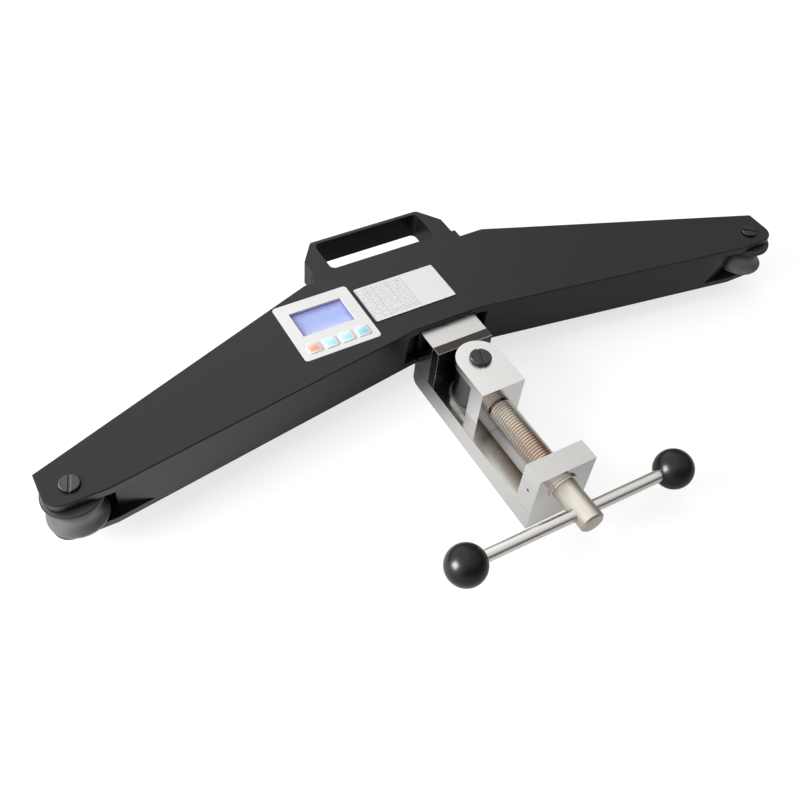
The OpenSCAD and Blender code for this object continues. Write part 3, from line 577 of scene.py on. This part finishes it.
# lead screw: the plain head and spigot of the CAD screw with a cut thread between them
screwThread = {
    "axisZ": 0.040,
    "pitch": 0.0025,
    "crest": 0.00998,
    "root": 0.0086,
    "from": -0.0835,
    "to": 0.0024,
    "steps": 48,
    "spareTurns": 3,
    "headOverlap": 0.0005,
    "spigotOverlap": 0.0003,
    "smooth": 32,
    "profile": ((1, 0.38), (0, 0.14), (-1, 0.38), (0, 0.10)),  # outwards in depths, onwards in pitches
}
screwLook = {
    "steelDark": (0.66, 0.625, 0.55),
    "steelLight": (0.84, 0.80, 0.72),
    # copper stain, also laid as painted shade on the screw's right side
    "copperStainAndShade": (0.60, 0.385, 0.29),
    "copperStart": -0.012,
    "copperFull": -0.050,
    "grease": (0.20, 0.12, 0.085),
    "greaseMost": 0.6,
    "greaseStart": 0.0098,
    "greaseFull": 0.0088,
    "headDark": (0.50, 0.47, 0.41),
    "headLight": (0.66, 0.625, 0.56),
    "headRough": 0.12,
    "roughLow": 0.24,
    "roughHigh": 0.34,
}


def threadFinish():
    # turned steel with old grease: coppery towards the lug, the copper laid heavier on the screw's right
    # side as painted shade, and dark brown in the thread's roots
    s = screwLook
    material, tree, shader = startMaterial("threadFinish", s["steelDark"], s["roughLow"], 1.0)
    x, y, z = splitAxes(tree, objectPlace(tree, (1, 1, 1), (0, 0, screwThread["axisZ"])))
    squares = calc(tree, "ADD", calc(tree, "MULTIPLY", x, x), calc(tree, "MULTIPLY", z, z))
    root = remap(tree, calc(tree, "SQRT", squares), s["greaseStart"], s["greaseFull"], 0, 1)
    blotch = noiseField(tree, objectPlace(tree), 110, 3)
    onThread = calc(tree, "GREATER_THAN", y, screwThread["from"])
    along = remap(tree, y, s["copperStart"], s["copperFull"], 0, 1)
    # painted shade: the copper is heavier on the right side, away from the key light
    awayFromLight = remap(tree, x, -0.009, 0.002, 0.30, 1.0)
    tint = calc(tree, "MULTIPLY", awayFromLight, remap(tree, blotch, 0.3, 0.7, 0.6, 1.0))
    copperStainAndShade = calc(tree, "MULTIPLY", calc(tree, "MULTIPLY", along, onThread), tint)
    steel = blendColours(tree, blotch, s["steelDark"], s["steelLight"])
    stained = blendColours(tree, copperStainAndShade, steel, s["copperStainAndShade"])
    grease = calc(tree, "MULTIPLY", calc(tree, "MULTIPLY", root, onThread), s["greaseMost"])
    greased = blendColours(tree, grease, stained, s["grease"])
    onHead = calc(tree, "SUBTRACT", 1.0, onThread)
    rubs = noiseField(tree, objectPlace(tree, (700, 30, 700)), 1, 3)
    headSteel = blendColours(tree, rubs, s["headDark"], s["headLight"])
    tree.links.new(blendColours(tree, onHead, greased, headSteel), shader.inputs["Base Color"])
    satin = remap(tree, blotch, 0.3, 0.7, s["roughLow"], s["roughHigh"])
    rough = calc(tree, "ADD", satin, calc(tree, "MULTIPLY", onHead, s["headRough"]))
    tree.links.new(rough, shader.inputs["Roughness"])
    turned = noiseField(tree, objectPlace(tree, (200, 4000, 200)), 1, 2)
    addBump(tree, shader, turned, 0.03, 0.0001)
    return material


def cutPart(nodeName, pieceName, y, keepFront):
    piece = copyOfNode(nodeName, pieceName)
    bpy.ops.object.mode_set(mode="EDIT")
    bpy.ops.mesh.select_all(action="SELECT")
    bpy.ops.mesh.bisect(plane_co=(0, y, 0), plane_no=(0, 1, 0), use_fill=True,
                        clear_outer=keepFront, clear_inner=not keepFront)
    bpy.ops.object.mode_set(mode="OBJECT")
    return piece


def threadedRod(pieceName):
    # one pitch of the profile is drawn point by point and wound along Y
    # the rod is then cut square and capped at both ends
    s = screwThread
    deselectAll()
    bpy.ops.mesh.primitive_plane_add(size=0.002, location=(0, 0, 0))
    rod = bpy.context.active_object
    rod.name = pieceName
    bpy.ops.object.mode_set(mode="EDIT")
    bpy.ops.mesh.select_mode(type="VERT")
    bpy.ops.mesh.select_all(action="SELECT")
    bpy.ops.mesh.merge(type="CENTER")
    bpy.ops.transform.translate(value=(s["root"], 0, 0))
    depth = s["crest"] - s["root"]
    for outward, onward in s["profile"]:
        bpy.ops.mesh.extrude_vertices_move(
            TRANSFORM_OT_translate={"value": (outward * depth, onward * s["pitch"], 0)})
    bpy.ops.object.mode_set(mode="OBJECT")
    turns = math.ceil((s["to"] - s["from"]) / s["pitch"]) + s["spareTurns"]
    applyModifier(rod, "SCREW", axis="Y", screw_offset=s["pitch"], iterations=turns, steps=s["steps"],
                  render_steps=s["steps"], use_merge_vertices=False)
    bpy.ops.object.mode_set(mode="EDIT")
    bpy.ops.mesh.select_all(action="SELECT")
    bpy.ops.mesh.remove_doubles(threshold=2e-6)
    bpy.ops.transform.translate(value=(0, s["from"] - 2 * s["pitch"], s["axisZ"]))
    bpy.ops.mesh.select_all(action="SELECT")
    bpy.ops.mesh.bisect(plane_co=(0, s["from"], 0), plane_no=(0, 1, 0), use_fill=True,
                        clear_inner=True)
    bpy.ops.mesh.select_all(action="SELECT")
    bpy.ops.mesh.bisect(plane_co=(0, s["to"], 0), plane_no=(0, 1, 0), use_fill=True,
                        clear_outer=True)
    bpy.ops.mesh.select_all(action="SELECT")
    bpy.ops.mesh.normals_make_consistent(inside=False)
    bpy.ops.object.mode_set(mode="OBJECT")
    return rod


def makeLeadScrew():
    s = screwThread
    head = cutPart("lead_screw", "leadScrew", s["from"] + s["headOverlap"], True)
    spigot = cutPart("lead_screw", "spigotPart", s["to"] - s["spigotOverlap"], False)
    rod = threadedRod("threadPart")
    deselectAll()
    for part in (rod, spigot, head):
        part.select_set(True)
    bpy.context.view_layer.objects.active = head
    bpy.ops.object.join()
    smoothByAngle(head, s["smooth"])
    dress(head, threadFinish())
    standFor(head, "lead_screw")


makeLeadScrew()
print("lead screw threaded")

paintNode(bronzeBush, "sheave_bush_left", "sheave_bush_right", "thrust_washers", "roller_bush",
          "board_spacers")
paintNode(blackedSteel, "bush_set_screw")
paintNode(knobGloss, "ball_knob_left", "ball_knob_right")
paintNode(zincSteel, "plate_screws", "handle_screws", "cell_screws", "clamp_bolts", "pad_screws",
          "retaining_pins", "board_screws")
paintNode(cellMetal, "load_cell")
paintNode(boardMask, "circuit_board")
paintNode(trayPlastic, "tact_switches", "battery_holder")
paintNode(cellWrap, "battery_cells")
print("CAD nodes painted")


# floor, light and camera
floorLook = {
    "size": 8.0,
    "colour": (0.36, 0.36, 0.36),
    "lift": 0.72,
    "shineLeft": 0.90,
    "shineMiddle": 0.35,
    "shineRight": 0.25,
    "leftEnd": -0.30,
    "middle": -0.05,
    "rightEnd": 0.20,
    "backEnd": 0.08,
    "backFull": 0.03,
    "backLeast": 0.1,
    "frontEnd": -0.16,
    "frontFull": -0.03,
    "frontLeast": 0.4,
}


def makeFloor():
    # white to the camera; in reflections it is brightest at the left of the object
    s = floorLook
    deselectAll()
    bpy.ops.mesh.primitive_plane_add(size=s["size"], location=(0, 0, 0))
    floor = bpy.context.active_object
    floor.name = "studioFloor"
    material, tree, shader = startMaterial("floorWhite", s["colour"], 0.9)
    shader.inputs["Specular IOR Level"].default_value = 0.0
    path = tree.nodes.new("ShaderNodeLightPath")
    seen = calc(tree, "MAXIMUM", path.outputs["Is Camera Ray"], path.outputs["Is Transmission Ray"])
    lift = calc(tree, "MULTIPLY", seen, s["lift"])
    x, y, z = splitAxes(tree, objectPlace(tree))
    left = remap(tree, x, s["leftEnd"], s["middle"], s["shineLeft"], 0)
    centre = s["shineMiddle"] + s["shineRight"]
    right = remap(tree, x, s["middle"], s["rightEnd"], centre, s["shineRight"])
    back = remap(tree, y, s["backEnd"], s["backFull"], s["backLeast"], 1)
    front = remap(tree, y, s["frontEnd"], s["frontFull"], s["frontLeast"], 1)
    spread = calc(tree, "MULTIPLY", calc(tree, "ADD", left, right), calc(tree, "MULTIPLY", back, front))
    shine = calc(tree, "MULTIPLY", path.outputs["Is Glossy Ray"], spread)
    shader.inputs["Emission Color"].default_value = (1, 1, 1, 1)
    tree.links.new(calc(tree, "ADD", lift, shine), shader.inputs["Emission Strength"])
    material.cycles.emission_sampling = "NONE"
    floor.data.materials.append(material)


skyLook = {
    "front": 0.12,
    "middle": 0.13,
    "top": 0.66,
    "back": 1.85,
    "spread": 0.60,
    "most": 1.55,
}


def makeSky():
    # white to the camera; in reflections it is bright overhead and behind at the left, dim in front
    s = skyLook
    world = bpy.data.worlds.new("studioSky")
    bpy.context.scene.world = world
    world.use_nodes = True
    tree = world.node_tree
    background = tree.nodes["Background"]
    coords = tree.nodes.new("ShaderNodeTexCoord")
    x, y, z = splitAxes(tree, coords.outputs["Generated"])
    behind = calc(tree, "ADD", calc(tree, "MULTIPLY", y, 0.9), calc(tree, "MULTIPLY", z, 0.6))
    lean = calc(tree, "SUBTRACT", behind, x)
    above = calc(tree, "ADD", z, calc(tree, "MULTIPLY", x, 0.3))
    rise = remap(tree, lean, -0.3, 0.3, s["front"], s["front"] + s["middle"])
    crown = remap(tree, above, 0.55, 0.90, 0, s["top"])
    glow = calc(tree, "ADD", rise, calc(tree, "ADD", crown, remap(tree, lean, 0.3, 1.0, 0, s["back"])))
    path = tree.nodes.new("ShaderNodeLightPath")
    share = remap(tree, path.outputs["Is Glossy Ray"], 0, 1, s["spread"], 1.0)
    level = calc(tree, "MINIMUM", calc(tree, "MULTIPLY", glow, share), s["most"])
    seen = calc(tree, "MAXIMUM", path.outputs["Is Camera Ray"], path.outputs["Is Transmission Ray"])
    strength = calc(tree, "MAXIMUM", level, seen)
    background.inputs["Color"].default_value = (1, 1, 1, 1)
    tree.links.new(strength, background.inputs["Strength"])
    world.cycles.sampling_method = "NONE"


lampLook = {
    "aim": (0, 0.03, 0.04),
    "keyPlace": (-1.43, 0.20, 0.70),
    "keySize": (0.8, 0.8),
    "keyPower": 26.0,
    "glintPlace": (-0.93, 0.95, 0.90),
    "glintSize": (0.45, 0.45),
    "glintPower": 17.0,
    "glintless": ("bodyShell", "bottomCover", "carryHandle", "displayPanel", "clampFrame", "yokeBlock",
                  "leadScrew"),
    "ballGlintPlace": (-1.43, 0.24, 0.58),
    "ballGlintSize": (0.7, 0.7),
    "ballGlintPower": 72.0,
}


def addSoftbox(name, place, size, power):
    deselectAll()
    bpy.ops.object.light_add(type="AREA", location=place)
    lamp = bpy.context.active_object
    lamp.name = name
    lamp.data.shape = "RECTANGLE"
    lamp.data.size, lamp.data.size_y = size
    lamp.data.energy = power
    lamp.rotation_mode = "QUATERNION"
    lamp.rotation_quaternion = (Vector(lampLook["aim"]) - Vector(place)).to_track_quat("-Z", "Y")
    return lamp


def addGlint(name, place, size, power, pieces):
    # a lamp that only shows as a reflection in the given pieces
    lamp = addSoftbox(name, place, size, power)
    lamp.visible_diffuse = False
    receivers = bpy.data.collections.new(name + "Pieces")
    for piece in pieces:
        receivers.objects.link(piece)
    lamp.light_linking.receiver_collection = receivers


def addLamps():
    s = lampLook
    soft = addSoftbox("keyLight", s["keyPlace"], s["keySize"], s["keyPower"])
    soft.visible_glossy = False
    balls = [nodes["ball_knob_left"], nodes["ball_knob_right"]]
    others = [piece for piece in bpy.data.objects
              if piece.type == "MESH" and piece.name not in s["glintless"] and piece not in balls]
    addGlint("keyGlint", s["glintPlace"], s["glintSize"], s["glintPower"], others)
    addGlint("ballGlint", s["ballGlintPlace"], s["ballGlintSize"], s["ballGlintPower"], balls)


cameraFit = {
    "azimuth": -35.56,
    "elevation": 49.22,
    "roll": 7.13,
    "target": (-0.0804, 0.02771, 0.066),
    "distance": 0.69835,
    "lens": 924.17 * 36 / 800,
}


def makeCamera():
    a, e, r = (math.radians(cameraFit[key]) for key in ("azimuth", "elevation", "roll"))
    back = Vector((math.sin(a) * math.cos(e), -math.cos(a) * math.cos(e), math.sin(e)))
    right = Vector((math.cos(a), math.sin(a), 0))
    up = back.cross(right)
    turnedRight = math.cos(r) * right + math.sin(r) * up
    turnedUp = math.cos(r) * up - math.sin(r) * right
    deselectAll()
    bpy.ops.object.camera_add()
    camera = bpy.context.active_object
    camera.data.sensor_width = 36
    camera.data.lens = cameraFit["lens"]
    camera.data.clip_start = 0.01
    turn = Matrix((turnedRight, turnedUp, back)).transposed()
    place = Vector(cameraFit["target"]) + back * cameraFit["distance"]
    camera.matrix_world = Matrix.Translation(place) @ turn.to_4x4()
    bpy.context.scene.camera = camera


makeFloor()
makeSky()
addLamps()
makeCamera()
bpy.context.scene.view_settings.view_transform = "Standard"
print("stage, light and camera set")
